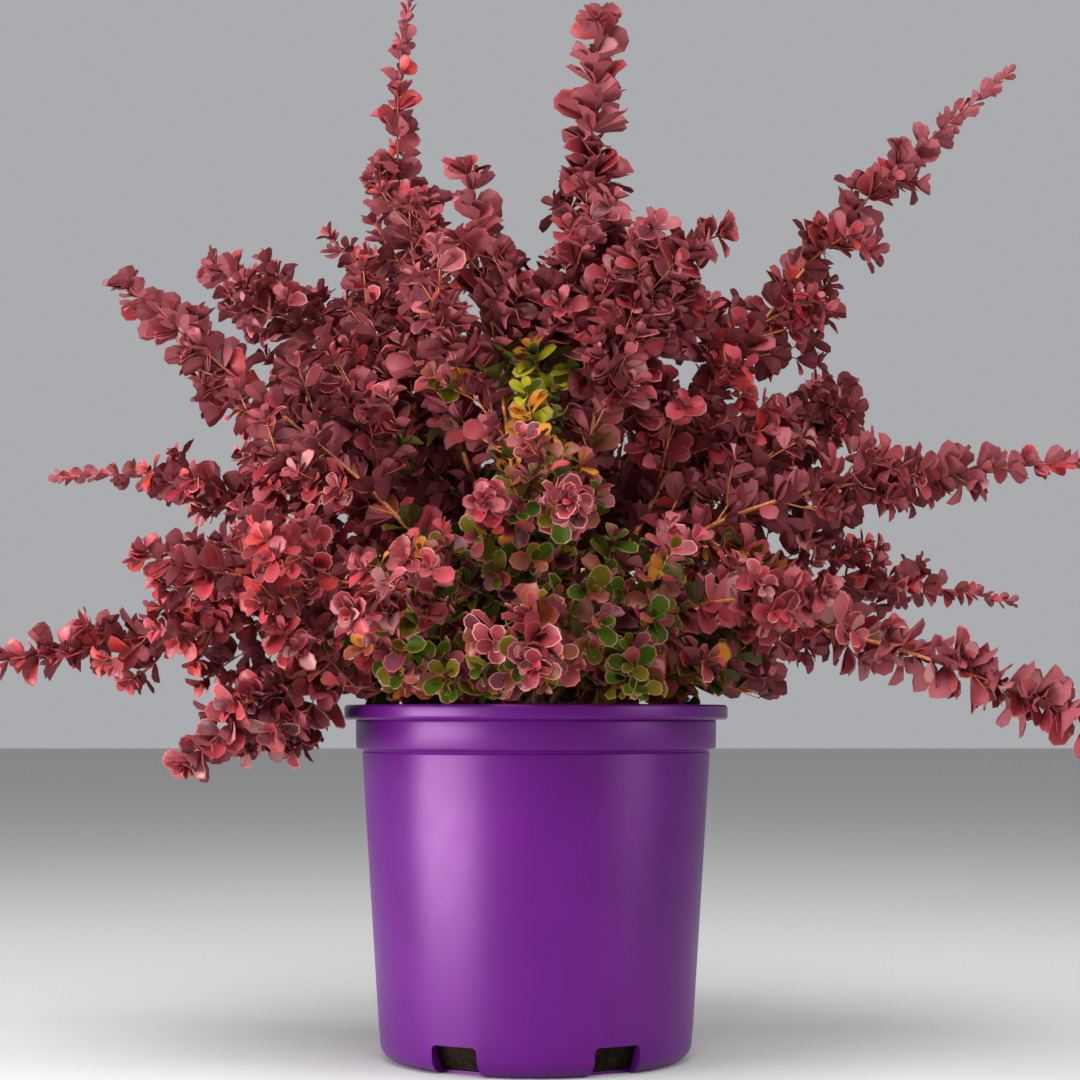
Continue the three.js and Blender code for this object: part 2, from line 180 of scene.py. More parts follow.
potShape = {
    "wall": 0.0018,
    "undersideRadius": 0.0825,
    "cornerRadius": 0.0112,
    "footRadius": 0.0944,
    "footHeight": 0.024,
    "shoulderRadius": 0.104,
    "bandRadius": 0.1076,
    "bandBottom": 0.185,
    "lipHeight": 0.0088,
    "lipRoll": 0.0021,
    "lipInset": 0.0008,
    "insideDrop": 0.002,
    # The small step at the band's foot and the groove under the lip, as (radius, height) offsets
    "shoulderStep": [(0, -0.0024), (-0.0009, -0.0013), (0.0002, -0.0003)],
    "bandFoot": [(-0.0004, 0), (0, 0.0012)],
    "bandTop": [(0.0002, -0.0010), (-0.0006, 0.0006)],
    "lipUnderside": [(-0.0012, 0.0008), (-0.0002, 0)],
    "edgeBevel": 0.0005,
    "notchCount": 6,
    "notchWidth": 0.030,
    "notchHeight": 0.0175,
    "notchDepth": 0.034,
    "notchCorner": 0.0032,
    "notchInset": 0.015,
    "steps": 144,
    "clearReach": 0.175,
    "tints": ("480c5a", "531067"),
}


def potPlastic():
    finish = Finish("purple_plastic", "7b2d95", Specular_IOR_Level=0.3, Specular_Tint=(1, 0.5, 0.95, 1))
    cloud = finish.grain(14, 2)
    flow = finish.grain(60, 3, (1, 1, 0.06))
    share = finish.between(cloud * 0.7 + flow * 0.3, 0.35, 0.65)
    finish.feed("Base Color", finish.blended(share, *potShape["tints"]))
    finish.feed("Roughness", finish.between(finish.grain(90, 4), 0.2, 0.8) * 0.05 + 0.34)
    finish.relief(finish.grain(900, 2), 0.00004, 0.5)
    return finish


def offsetFrom(corner, offsets):
    # Points of an outline near one of its corners
    return [(corner[0] + across, corner[1] + up) for across, up in offsets]


def makePot():
    p = potShape
    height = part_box("pot")[1].z
    lipBottom = height - p["lipHeight"]
    roll = p["lipRoll"]
    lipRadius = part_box("pot")[1].x - roll
    outside = [(0, 0)] + arc((p["undersideRadius"], p["cornerRadius"]), p["cornerRadius"], -90, -8, 7)
    outside += [(p["footRadius"], p["footHeight"])]
    outside += offsetFrom((p["shoulderRadius"], p["bandBottom"]), p["shoulderStep"])
    outside += offsetFrom((p["bandRadius"], p["bandBottom"]), p["bandFoot"])
    outside += offsetFrom((p["bandRadius"], lipBottom), p["bandTop"])
    outside += offsetFrom((lipRadius, lipBottom), p["lipUnderside"])
    lip = arc((lipRadius, lipBottom + roll), roll, -80, 0, 4)
    lip += arc((lipRadius, height - roll), roll, 0, 90, 5)
    lip += arc((p["bandRadius"] + p["lipInset"], height - roll), roll, 90, 175, 4)
    inside = [
        (p["bandRadius"] - p["wall"], lipBottom - p["insideDrop"]),
        (p["shoulderRadius"] - p["wall"], p["bandBottom"] - p["insideDrop"]),
        (p["footRadius"] - p["wall"], p["footHeight"]),
        (p["undersideRadius"], p["wall"]),
        (0, p["wall"]),
    ]
    shape = spunWall(outside + lip + inside, p["steps"])
    bevelSharp(shape, p["edgeBevel"], 2, 24)
    wall = bpy.data.objects.new("pot_wall", meshFrom(shape, "pot_wall"))
    scene.collection.objects.link(wall)
    cutters = [notchCutter(i) for i in range(p["notchCount"])]
    for cutter in cutters:
        cut = wall.modifiers.new("notch", "BOOLEAN")
        cut.operation = "DIFFERENCE"
        cut.solver = "EXACT"
        cut.object = cutter
    bpy.context.view_layer.update()
    mesh = bpy.data.meshes.new_from_object(wall.evaluated_get(bpy.context.evaluated_depsgraph_get()))
    for helper in cutters + [wall]:
        bpy.data.objects.remove(helper)
    mesh.shade_smooth()
    mesh.set_sharp_from_angle(angle=math.radians(28))
    pieceFrom("nursery_pot", mesh, [potPlastic()], ["pot"])
    print("pot:", len(mesh.polygons), "faces")


def notchCutter(index):
    # The block that cuts one drain notch, with its two upper corners rounded
    p = potShape
    shape = bmesh.new()
    bmesh.ops.create_cube(shape, size=1)
    size = (p["notchDepth"], p["notchWidth"], 2 * p["notchHeight"])
    bmesh.ops.scale(shape, vec=size, verts=shape.verts)
    upper = [e for e in shape.edges if all(v.co.z > 0 for v in e.verts)
             and abs(e.verts[0].co.x - e.verts[1].co.x) > p["notchDepth"] / 2]
    bmesh.ops.bevel(shape, geom=upper, offset=p["notchCorner"], offset_type="OFFSET", affect="EDGES",
                    segments=4, profile=0.5, material=-1)
    outward = Vector((p["footRadius"] - p["notchInset"] + p["notchDepth"] / 2, 0, 0))
    bmesh.ops.translate(shape, vec=outward, verts=shape.verts)
    turn = Matrix.Rotation(2 * math.pi * index / p["notchCount"], 3, "Z")
    bmesh.ops.rotate(shape, cent=(0, 0, 0), matrix=turn, verts=shape.verts)
    cutter = bpy.data.objects.new("notch_cutter", meshFrom(shape, "notch_cutter"))
    scene.collection.objects.link(cutter)
    return cutter


# Potting mix

mixShape = {
    "clearance": 0.0004,
    "wallGap": 0.0024,
    "undersideGap": 0.0034,
    "edgeDrop": 0.0015,
    "levelDrop": 0.0008,
    "ringStep": 0.005,
    "steps": 96,
    "bump": 0.0011,
    "bumpScales": (90, 260),
    "chips": 620,
    "chipEdge": 0.006,
    "chipLength": (0.003, 0.011),
    "chipWidth": (0.35, 0.7),
    "chipDepth": (0.18, 0.4),
    "chipTilt": 0.3,
    "chipRaggedness": 0.12,
    "perliteShare": 0.05,
    # The loose mix is darker than its own brown: partly painted shade, so that it reads as shadow
    # through the drain notches
    "looseTintsWithShade": ("0d0907", "2c1f15"),
    "chipTints": ("2f2018", "6a4a33"),
    "perliteTint": "cfc8ba",
}


def mixFinishes():
    loose = Finish("bark_peat_mix", "2a1f18", Roughness=0.95, Specular_IOR_Level=0.1)
    coarse = loose.grain(260, 4, roughness=0.7)
    share = loose.between(coarse, 0.35, 0.7)
    # Two darkened tints of the loose mix, partly painted shade
    loose.feed("Base Color", loose.blended(share, *mixShape["looseTintsWithShade"]))
    loose.relief(coarse, 0.0012)
    chip = Finish("bark_chip", "4a3222", Roughness=0.85)
    streak = chip.between(chip.grain(420, 3), 0.3, 0.7)
    chip.feed("Base Color", chip.blended(streak, *mixShape["chipTints"]))
    chip.relief(streak, 0.0004)
    perlite = Finish("perlite", mixShape["perliteTint"], Roughness=0.9)
    pitted = perlite.grain(900, 2)
    perlite.relief(pitted, 0.0003)
    return [loose, chip, perlite]


def makePottingMix():
    m = mixShape
    low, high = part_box("soil")
    edge = high.x - m["clearance"]
    p = potShape
    profile = [
        (0, low.z),
        (p["undersideRadius"] - m["undersideGap"], low.z),
        (p["footRadius"] - m["wallGap"], p["footHeight"]),
        (p["shoulderRadius"] - m["wallGap"], p["bandBottom"] - p["insideDrop"]),
        (edge, high.z - m["edgeDrop"]),
    ]
    level = high.z - m["levelDrop"]
    rings = int(edge / m["ringStep"])
    profile += [(edge * i / rings, level) for i in range(rings - 1, -1, -1)]
    shape = spunWall(profile, m["steps"])
    for v in [v for v in shape.verts if v.co.z > high.z - 0.001]:
        coarse, fine = [noise.noise(v.co * scale) for scale in m["bumpScales"]]
        v.co.z += m["bump"] * (coarse + 0.5 * fine)
    rng = random.Random(5)
    for _ in range(m["chips"]):
        reach = (edge - m["chipEdge"]) * math.sqrt(rng.random())
        bearing = rng.uniform(0, 2 * math.pi)
        length = rng.uniform(*m["chipLength"])
        size = [length, length * rng.uniform(*m["chipWidth"]), length * rng.uniform(*m["chipDepth"])]
        turned = Matrix.Rotation(rng.uniform(0, math.pi), 4, "Z")
        tilted = turned @ Matrix.Rotation(rng.gauss(0, m["chipTilt"]), 4, "X")
        spot = Vector((reach * math.cos(bearing), reach * math.sin(bearing), high.z - 0.0002))
        placed = Matrix.Translation(spot) @ tilted @ Matrix.Diagonal((*size, 1))
        chip = bmesh.ops.create_cube(shape, size=1, matrix=placed)["verts"]
        ragged = m["chipRaggedness"]
        for v in chip:
            v.co += Vector([rng.uniform(-ragged, ragged) * length for _ in range(3)])
        kind = 2 if rng.random() < m["perliteShare"] else 1
        for face in {f for v in chip for f in v.link_faces}:
            face.material_index = kind
    pieceFrom("potting_mix", meshFrom(shape, "potting_mix"), mixFinishes(), ["soil"])
    print("potting mix:", m["chips"], "chips")


# Plan of canes, the same as in the part's source, in millimetres and degrees

stemPlan = {"soilTop": 191, "gap": 0.35, "domeRadius": 24, "domeHeight": 8}

tiers = {
    "spire": {"rise": 78, "firstBearing": 70, "stiffness": 0.4, "girth": 2.6},
    "crest": {"rise": 62, "firstBearing": 12, "stiffness": 0.42, "girth": 2.4},
    "low": {"rise": 40, "firstBearing": 10, "stiffness": 0.4, "girth": 2.5},
    "skirt": {"rise": 14, "firstBearing": 24, "stiffness": 0.35, "girth": 1.8},
}

# Name: bearing, reach, height, slope at the tip, length of the spike, leaf length, look of its sprays
canes = {
    "spire": {
        "back_spire": (95, 150, 475, 62, 90, 22, "wine"),
        "left_spire": (159, 82, 647, 102, 190, 18, "crimson"),
        "inner_spire": (225, 56, 525, 78, 90, 23, "wine"),
        "middle_spire": (321, 48, 616, 85, 170, 24, "wine"),
    },
    "crest": {
        "right_spire": (8, 295, 602, 39, 150, 21, "crimson"),
        "right_crest": (27, 222, 417, 34, 40, 22, "rose"),
        "back_right_crest": (58, 218, 400, 22, 50, 22, "wine"),
        "back_tuft": (92, 225, 340, 8, 50, 22, "rose"),
        "back_left_crest": (124, 225, 410, 25, 60, 22, "wine"),
        "left_crest": (160, 219, 490, 30, 70, 22, "wine"),
        "left_shoulder": (187, 244, 459, 42, 90, 22, "wine"),
        "left_short": (206, 245, 295, 18, 60, 20, "crimson"),
        "front_left_tuft": (261, 172, 319, 8, 40, 19, "rose"),
        "front_tuft": (275, 215, 313, -5, 50, 19, "rosette"),
        "right_shoulder": (327, 128, 479, 8, 70, 23, "wine"),
        "right_long": (349, 332, 352, 5, 150, 22, "dustySheen"),
    },
    "low": {
        "right_lance": (11, 302, 276, -11, 110, 18, "crimson"),
        "back_right_low": (44, 265, 280, -5, 80, 21, "wine"),
        "back_low": (84, 285, 235, -20, 90, 22, "rose"),
        "back_left_low": (127, 285, 291, 0, 90, 21, "wine"),
        "left_lance": (168, 307, 354, -5, 120, 19, "crimson"),
        "left_long": (189, 345, 233, -5, 120, 20, "crimson"),
        "left_drooping": (205, 218, 176, -42, 70, 22, "wine"),
        "front_left_low": (242, 205, 257, -5, 50, 20, "rose"),
        "front_drooping": (270, 240, 227, -38, 60, 20, "rosette"),
        "front_right_low": (313, 225, 269, 0, 60, 20, "rose"),
        "right_drooping": (340, 378, 182, -19, 150, 23, "dustySheen"),
    },
}
skirtPlan = {
    "names": ["right", "back_right", "back", "back_left", "left", "front_left", "front", "front_right"],
    "reaches": (146, 112),
    "heights": (231, 235),
    "slope": 8,
    "leaf": 22,
}
limbPlan = {"boughShare": 0.2, "longestBareless": 255, "tipGirth": 0.5, "taper": 1.7, "points": 97,
            "shortWhip": 5, "droopsUnder": 195}

# How far a tip runs on as a red whip with only small leaves pressed to it
whips = {"left_spire": 34, "right_spire": 50, "left_lance": 40, "right_long": 40, "right_lance": 30,
         "left_long": 14, "back_spire": 24, "back_left_low": 30, "back_low": 26}

# How long the side twigs of a cane grow beside those of the others
bushiness = {"right_spire": 0.68, "right_drooping": 0.4, "right_lance": 1, "left_lance": 0.85,
             "front_tuft": 0.75, "left_drooping": 0.95, "left_long": 0.8, "right_long": 0.9,
             "left_spire": 1.5, "middle_spire": 1.5, "inner_spire": 1.25, "left_shoulder": 0.8,
             "right_shoulder": 1.2, "skirt_right": 0.8}

# How much the side twigs bend upward, by tier and for the canes that differ from theirs
lifts = {"spire": 0.22, "crest": 0.22, "low": 0.08, "skirt": 0.22, "right_spire": -0.25,
         "left_long": -0.25, "right_drooping": 0.12, "right_shoulder": 0.35, "left_short": 0.35,
         "left_lance": -0.1, "left_crest": 0.1, "left_shoulder": 0.4, "right_long": -0.1,
         "right_crest": 0, "left_drooping": -0.15, "skirt_right": -0.2}


def headingTo(bearing, elevation):
    b, e = math.radians(bearing), math.radians(elevation)
    return Vector((math.cos(b) * math.cos(e), math.sin(b) * math.cos(e), math.sin(e)))


class Shoot:
    # A limb as a line of points, measured along its length from its root
    def __init__(self, points, rootRadius, tipRadius):
        self.points = points
        self.marks = [0.0]
        for a, b in zip(points, points[1:]):
            self.marks.append(self.marks[-1] + (b - a).length)
        self.length = self.marks[-1]
        self.rootRadius = rootRadius
        self.tipRadius = tipRadius

    def segment(self, at):
        at = min(max(at, 0), self.length)
        i = min(int(np.searchsorted(self.marks, at, side="right")) - 1, len(self.points) - 2)
        return i, (at - self.marks[i]) / (self.marks[i + 1] - self.marks[i])

    def placeAt(self, at):
        i, share = self.segment(at)
        return self.points[i].lerp(self.points[i + 1], share)

    def alongAt(self, at):
        i, _ = self.segment(at)
        return (self.points[i + 1] - self.points[i]).normalized()

    def radiusAt(self, at):
        rest = max(0, 1 - at / self.length)
        return self.tipRadius + (self.rootRadius - self.tipRadius) * rest ** limbPlan["taper"]


stemCentre = Vector((0, 0, stemPlan["soilTop"] + stemPlan["gap"] + stemPlan["domeHeight"])) * mm


def sideOf(bearing):
    # The side that a cane leans to, which the piece that holds its leaves is named after
    if 40 < bearing < 150:
        return "back"
    return "left" if 90 <= bearing % 360 < 270 else "right"


def planCane(name, tierName, turn, bearing, reach, height, slope, spike, leaf, look):
    tier = tiers[tierName]
    leaving = headingTo(tier["firstBearing"] + 360 * turn, tier["rise"])
    start = stemCentre + leaving * (stemPlan["domeRadius"] + stemPlan["gap"]) * mm
    tip = headingTo(bearing, 0) * reach * mm
    tip.z = height * mm
    pull = (tip - start).length * tier["stiffness"]
    second = tip - headingTo(bearing, slope) * pull
    points = interpolate_bezier(start, start + leaving * pull, second, tip, limbPlan["points"])
    shoot = Shoot(points, tier["girth"] * mm, limbPlan["tipGirth"] * mm)
    bare = limbPlan["boughShare"] if shoot.length > limbPlan["longestBareless"] * mm else 0
    return {
        "name": name,
        "tier": tierName,
        "side": sideOf(bearing),
        "shoot": shoot,
        "axis": np.array(points[::3]),
        "bare": bare * shoot.length,
        "spike": spike * mm,
        "whip": whips.get(name, limbPlan["shortWhip"]) * mm,
        "bushy": bushiness.get(name, 1),
        "lift": lifts.get(name, lifts[tierName]),
        "droops": height < limbPlan["droopsUnder"],
        "leaf": leaf * mm,
        "look": look,
    }


def planCanes():
    s = skirtPlan
    count = len(s["names"])
    skirt = {
        f"skirt_{name}": (tiers["skirt"]["firstBearing"] + 360 / count * i, s["reaches"][i % 2],
                          s["heights"][i % 2], s["slope"], 0, s["leaf"], "wine")
        for i, name in enumerate(s["names"])
    }
    plan = []
    for tierName, members in {**canes, "skirt": skirt}.items():
        for i, (name, values) in enumerate(members.items()):
            plan.append(planCane(name, tierName, i / len(members), *values))
    return plan


plan = planCanes()
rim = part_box("pot")[1]
axes = kdtree.KDTree(sum(len(cane["shoot"].points) for cane in plan))
owners = []
for number, cane in enumerate(plan):
    for point in cane["shoot"].points:
        axes.insert(point, len(owners))
        owners.append(number)
axes.balance()


def inOwnSpace(number, point, slack):
    # True where no other cane's axis is nearer than the own one by more than the slack
    own = math.sqrt(((plan[number]["axis"] - np.array(point)) ** 2).sum(1).min())
    _, index, nearest = axes.find(point)
    return owners[index] == number or own < nearest + slack


def clearOfPot(points, droops, spare=0.0015):
    # All above the rim, or all inside it over the soil, or well outside where the cane droops past it
    wallInside = potShape["bandRadius"] - potShape["wall"] - spare
    soilTop = stemPlan["soilTop"] * mm + spare
    reach = [math.hypot(p.x, p.y) for p in points]
    if all(p.z > rim.z + spare for p in points):
        return True
    if all(r < wallInside and p.z > soilTop for r, p in zip(reach, points)):
        return True
    beyond = rim.x + spare if droops else potShape["clearReach"]
    return all(r > beyond for r in reach)


# Wood: foot, boughs, leafy stems and twigs

woodShape = {
    "footRadius": 0.024,
    "footFlare": 0.2,
    "footRibs": 11,
    "footRibDepth": 0.0009,
    "boughSides": 12,
    "boughStep": 0.0022,
    "boughRelief": 0.00022,
    "shortestBough": 0.03,
    "boughOverlap": 0.012,
    "boughSunk": 0.004,
    "rootFlare": 0.35,
    "rootFlareReach": 0.006,
    "scarEvery": 9,
    "scarSwell": 0.1225,
    "stemStep": 0.006,
    "stemKnuckle": 1.12,
    "thornRadii": (0.00034, 0.00004),
    "oldBarkTints": ("3f2a1c", "946c4a"),
}

# Dark and light of each young bark
barkTints = {
    "tan_bark": ("7a4a28", "b9814a"),
    "orange_bark": ("a8552a", "d8894a"),
    "red_bark": ("7d1f22", "b8423a"),
    "olive_bark": ("5d5a20", "9b943f"),
    "thorn_bark": ("a4682f", "d09a56"),
}


def oldBark():
    finish = Finish("old_bark", "6b4a33", Roughness=0.85)
    streak = finish.grain(700, 4, (1, 1, 0.25), 0.65)
    patch = finish.grain(120, 2)
    share = finish.between(streak * 0.65 + patch * 0.35, 0.35, 0.65)
    finish.feed("Base Color", finish.blended(share, *woodShape["oldBarkTints"]))
    finish.relief(streak, 0.0005, 0.8)
    return finish


def youngBark(name):
    dark, light = barkTints[name]
    finish = Finish(name, light, Roughness=0.6)
    share = finish.between(finish.grain(500, 3), 0.3, 0.7)
    finish.feed("Base Color", finish.blended(share, dark, light))
    finish.relief(share, 0.0002, 0.5)
    return finish


def makeWoodyFoot():
    # The low crown that the canes leave, ribbed where they meet it
    w = woodShape
    low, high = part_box("stem_base")
    shape = bmesh.new()
    bmesh.ops.create_uvsphere(shape, u_segments=72, v_segments=36, radius=1)
    bmesh.ops.bisect_plane(shape, geom=shape.verts[:] + shape.edges[:] + shape.faces[:], dist=1e-5,
                           plane_co=(0, 0, 0), plane_no=upward, clear_inner=True)
    bmesh.ops.holes_fill(shape, edges=[e for e in shape.edges if e.is_boundary], sides=0)
    for v in shape.verts:
        bearing = math.atan2(v.co.y, v.co.x)
        flare = 1 + w["footFlare"] * (1 - v.co.z) ** 3
        rib = math.cos(w["footRibs"] * bearing + 3 * v.co.z) + noise.noise(v.co * 7)
        radius = w["footRadius"] * flare + w["footRibDepth"] * rib * (1 - v.co.z)
        v.co.x *= radius
        v.co.y *= radius
        v.co.z = low.z + v.co.z * (high.z - low.z)
    mesh = meshFrom(shape, "woody_foot")
    mesh.shade_smooth()
    pieceFrom("woody_foot", mesh, [oldBark()], ["stem_base"])


def tubes(name, lines, sides, finishes):
    # Round limbs as one mesh: each line is a list of (point, radius) with the number of its finish
    curve = bpy.data.curves.new(name, "CURVE")
    curve.dimensions = "3D"
    curve.bevel_depth = 1
    curve.bevel_resolution = (sides - 4) // 2
    curve.use_fill_caps = True
    for finish in finishes:
        curve.materials.append(finish.material)
    for line, finish in lines:
        spline = curve.splines.new("POLY")
        spline.points.add(len(line) - 1)
        spline.points.foreach_set("co", [x for point, _ in line for x in (*point, 1)])
        spline.points.foreach_set("radius", [radius for _, radius in line])
        spline.material_index = finish
    holder = bpy.data.objects.new(name, curve)
    scene.collection.objects.link(holder)
    mesh = bpy.data.meshes.new_from_object(holder)
    bpy.data.objects.remove(holder)
    bpy.data.curves.remove(curve)
    mesh.name = name
    return mesh


def makeBoughs():
    # The bare lower part of each cane, with the bark's ridges and the scars where leaves were
    w = woodShape
    rng = random.Random(23)
    lines = []
    for cane in plan:
        shoot = cane["shoot"]
        end = max(cane["bare"], w["shortestBough"]) + w["boughOverlap"]
        steps = int((end + w["boughSunk"]) / w["boughStep"])
        sunk = shoot.points[0] - shoot.alongAt(0) * w["boughSunk"]
        line = [(sunk, shoot.rootRadius * 1.25)]
        phase = int(rng.random() * 6)
        for i in range(steps + 1):
            at = end * i / steps
            scar = 0 if (i + phase) % w["scarEvery"] else w["scarSwell"]
            swell = 1 + w["rootFlare"] * math.exp(-at / w["rootFlareReach"]) + scar
            line.append((shoot.placeAt(at), shoot.radiusAt(at) * swell))
        lines.append((line, 0))
    mesh = tubes("barked_boughs", lines, w["boughSides"], [oldBark()])
    shape = bmesh.new()
    shape.from_mesh(mesh)
    shape.normal_update()
    for v in shape.verts:
        ridges = noise.noise(v.normal * 4 + v.co * 60)
        grain = 0.6 * noise.noise(v.co * 900)
        v.co += v.normal * w["boughRelief"] * (ridges + grain)
    shape.to_mesh(mesh)
    shape.free()
    mesh.shade_smooth()
    nodes = [f"bough_{cane['name']}" for cane in plan if cane["bare"]]
    pieceFrom("barked_boughs", mesh, [], nodes)
    print("boughs:", len(nodes))


# Leaves: their forms, colours and looks

leafForm = {
    "sides": 10,
    "margin": 0.055,
    "thickness": 0.03,
    "endThickness": 0.35,
    "leastDeep": 0.009,
    "rootWidth": 0.15,
    "bladeWidth": 0.30,
    "roundness": 0.8,
    "widestAt": 0.6,
    "halfWidth": 0.32,
    "widths": (0.88, 1.15),
    "lowestTip": 0.115,
    "shapes": [
        {"fold": 0.14, "cup": 0.10, "curl": -0.12},
        {"fold": 0.26, "cup": 0.04, "curl": 0.06},
        {"fold": 0.08, "cup": 0.24, "curl": -0.24},
        {"fold": 0.18, "cup": 0.14, "curl": 0.16},
    ],
}

leafColours = {
    "wine": "7b2229",
    "garnet": "8e272d",
    "plum": "571926",
    "rose": "963f47",
    "dustySheen": "a06766",
    # dustySheen is partly the leaves' own dusty pink and partly a painted sheen: a greyer pink that
    # stands in for the light's reflection on leaf tops
    "crimson": "9e2932",
    # scarletGlow is a painted glow: a brighter red that stands in for light shining through backlit
    # leaves
    "scarletGlow": "ae2d28",
    "copper": "73361a",
    "orange": "ad681f",
    # olive and green are darker than the leaves' own green: painted shade of the crown's middle, where
    # they mostly grow
    "olive": "4a3f06",
    "green": "303e05",
    "lime": "878414",
}
marginColours = {"pinkMargin": "ad6662", "redMargin": "8c3338", "yellowMargin": "694820"}
undersideColours = {"roseUnder": "863c43", "greenUnder": "45480b"}

# How a spray's leaves are dealt: their colours, and the share of the red ones with a pink margin
looks = {
    "wine": (["wine", "wine", "garnet", "garnet", "plum", "rose", "rose", "dustySheen"], 0.14),
    "rose": (["rose", "rose", "garnet", "garnet", "wine", "dustySheen", "crimson"], 0.2),
    "rosette": (["garnet", "wine", "wine", "plum", "wine", "copper"], 0.55),
    # This look deals more of the greyer pink, partly painted sheen
    "dustySheen": (["rose", "dustySheen", "garnet", "garnet", "wine", "rose"], 0.12),
    "crimson": (["crimson", "crimson", "garnet", "rose", "wine", "scarletGlow"], 0.1),
    "tip": (["crimson", "scarletGlow", "crimson", "rose"], 0),
    "ember": (["copper", "wine", "copper", "crimson", "olive", "orange"], 0.1),
    # The heart's dark greens, olives, copper and plum are partly the inner leaves' own colours and
    # partly painted shade
    "shadedHeart": (["green", "olive", "olive", "green", "copper", "plum", "green", "wine"], 0),
    "lime": (["lime", "lime", "green", "orange"], 0),
}
greenish = {"olive", "green", "lime", "orange"}


def leafFinish(name, colour, roughness, shine=0.45):
    # A leaf's colour has its place in the crown, so it is a plain one; only its shine varies
    finish = Finish(name, colour, Specular_IOR_Level=shine)
    finish.feed("Roughness", finish.between(finish.grain(300, 2), 0.3, 0.7) * 0.16 + roughness)
    return finish


leafSlots = [*leafColours, *marginColours, *undersideColours]
slotOf = {name: i for i, name in enumerate(leafSlots)}
leafFinishes = [leafFinish(f"leaf_{name}", colour, 0.42, 0.05 if name in greenish else 0.4)
                for name, colour in leafColours.items()]
leafFinishes += [leafFinish(f"leaf_{name}", colour, 0.5) for name, colour in marginColours.items()]
leafFinishes += [leafFinish(f"leaf_{name}", colour, 0.62) for name, colour in undersideColours.items()]


def leafTemplate(fold, cup, curl):
    # A spoon-shaped leaf one long, its root at the origin: it runs along +Y with its face to +Z.
    # Face roles are 0 for the upper side, 1 for the margin and 2 for the underside.
    f = leafForm
    shape = bmesh.new()
    bmesh.ops.create_cone(shape, cap_ends=True, segments=f["sides"], radius1=1,
                          radius2=1 - 2 * f["margin"], depth=f["thickness"])
    bmesh.ops.poke(shape, faces=[face for face in shape.faces if len(face.verts) > 4])
    bmesh.ops.triangulate(shape, faces=shape.faces, quad_method="BEAUTY")
    half = f["thickness"] / 2
    for face in shape.faces:
        levels = [v.co.z > 0 for v in face.verts]
        face.material_index = 0 if all(levels) else 1 if any(levels) else 2
    for v in shape.verts:
        along = (v.co.y + 1) / 2
        across = v.co.x * (f["rootWidth"] + f["bladeWidth"] * along ** f["roundness"])
        thickening = f["endThickness"] + (1 - f["endThickness"]) * math.sin(math.pi * along)
        height = (v.co.z - half) * thickening
        height += fold * abs(across) + cup * across * across / 0.12 + curl * (along - 0.25) ** 2
        v.co = Vector((across, along, height))
    points = np.array([v.co for v in shape.verts])
    faces = np.array([[v.index for v in face.verts] for face in shape.faces])
    roles = np.array([face.material_index for face in shape.faces])
    shape.free()
    return {"points": points, "faces": faces, "roles": roles}


leafTemplates = [leafTemplate(**values) for values in leafForm["shapes"]]


def joinedLeaves(name, leaves):
    # One mesh of many leaves, from arrays of the templates' points carried to each leaf's place
    points, faces, slots, roles = [], [], [], []
    start = 0
    for number, form in enumerate(leafTemplates):
        own = [leaf for leaf in leaves if leaf["form"] == number]
        if not own:
            continue
        turns = np.array([leaf["matrix"] for leaf in own])
        roots = np.array([leaf["root"] for leaf in own])
        wears = np.array([leaf["slots"] for leaf in own])
        count, size = len(own), len(form["points"])
        points.append((np.einsum("nij,vj->nvi", turns, form["points"]) + roots[:, None]).reshape(-1, 3))
        offsets = start + size * np.arange(count)
        faces.append((form["faces"][None] + offsets[:, None, None]).reshape(-1, 3))
        slots.append(wears[:, form["roles"]].ravel())
        roles.append(np.tile(form["roles"], count))
        start += size * count
    mesh = bpy.data.meshes.new(name)
    mesh.from_pydata(np.concatenate(points), [], np.concatenate(faces))
    mesh.polygons.foreach_set("material_index", np.concatenate(slots).astype(np.int32))
    mesh.polygons.foreach_set("use_smooth", np.concatenate(roles) == 0)
    return mesh


# Growth: the source's rule, carried on to finer twigs and to leaves of true size

leafing = {
    "clusters": (3, 4, 4, 5),
    "nodeStep": 0.0100,
    "spikeClusters": (6, 6, 7, 8),
    "spikeStep": 0.0088,
    "tipShare": 0.52,
    "bluntShare": 0.72,
    "twigTipShare": 0.5,
    "tipTaper": 0.050,
    "twigTaper": 0.008,
    "opening": 62,
    "openingSpread": (0.7, 1.25),
    "roll": 48,
    "goldenTurn": 137.5,
    "spread": 95,
    "firstSize": (0.92, 1.08),
    "lesserSize": (0.62, 0.98),
    "whipOpening": (24, 48),
    "whipSize": (0.85, 1.2),
    "whipStep": 0.0036,
    "rosetteCounts": (4, 5, 6, 6),
    "rosetteDepth": 0.004,
    "rosetteOuter": 80,
    "rosetteInner": 30,
    "rosetteShare": 0.36,
    "stemStart": 0.006,
    "twigStart": 0.008,
    "subTwigStart": 0.006,
    "twigEnd": 0.006,
    "lookReach": 0.03,
    "thornShare": 0.4,
    "thornLength": 0.007,
    "thornOpening": 80,
}

# Leaf lengths beside the cane's own
leafShares = {"spike": 1.06, "stem": 0.95, "twig": 0.86, "subTwig": 0.8, "bluntTip": 0.7}

twigging = {
    "step": 0.0125,
    "opening": 47,
    "first": 0.038,
    "longest": 0.095,
    "shortest": 0.012,
    "shortening": 0.008,
    "lengthening": 0.5,
    "girthShare": 0.58,
    "thinnest": 0.0005,
    "forward": 0.45,
    "potSpare": 0.003,
    "slack": 0.014,
    "segments": 6,
    "wander": 0.05,
    "finest": 0.0004,
    "tipGirth": 0.45,
    "subTwigStep": 0.0165,
    "subTwigShare": 0.45,
    "subTwigFrom": 0.014,
    "sprigShare": 0.42,
    "sprigStep": 0.014,
    "sprigLength": 0.030,
    "sprigFrom": 0.022,
}

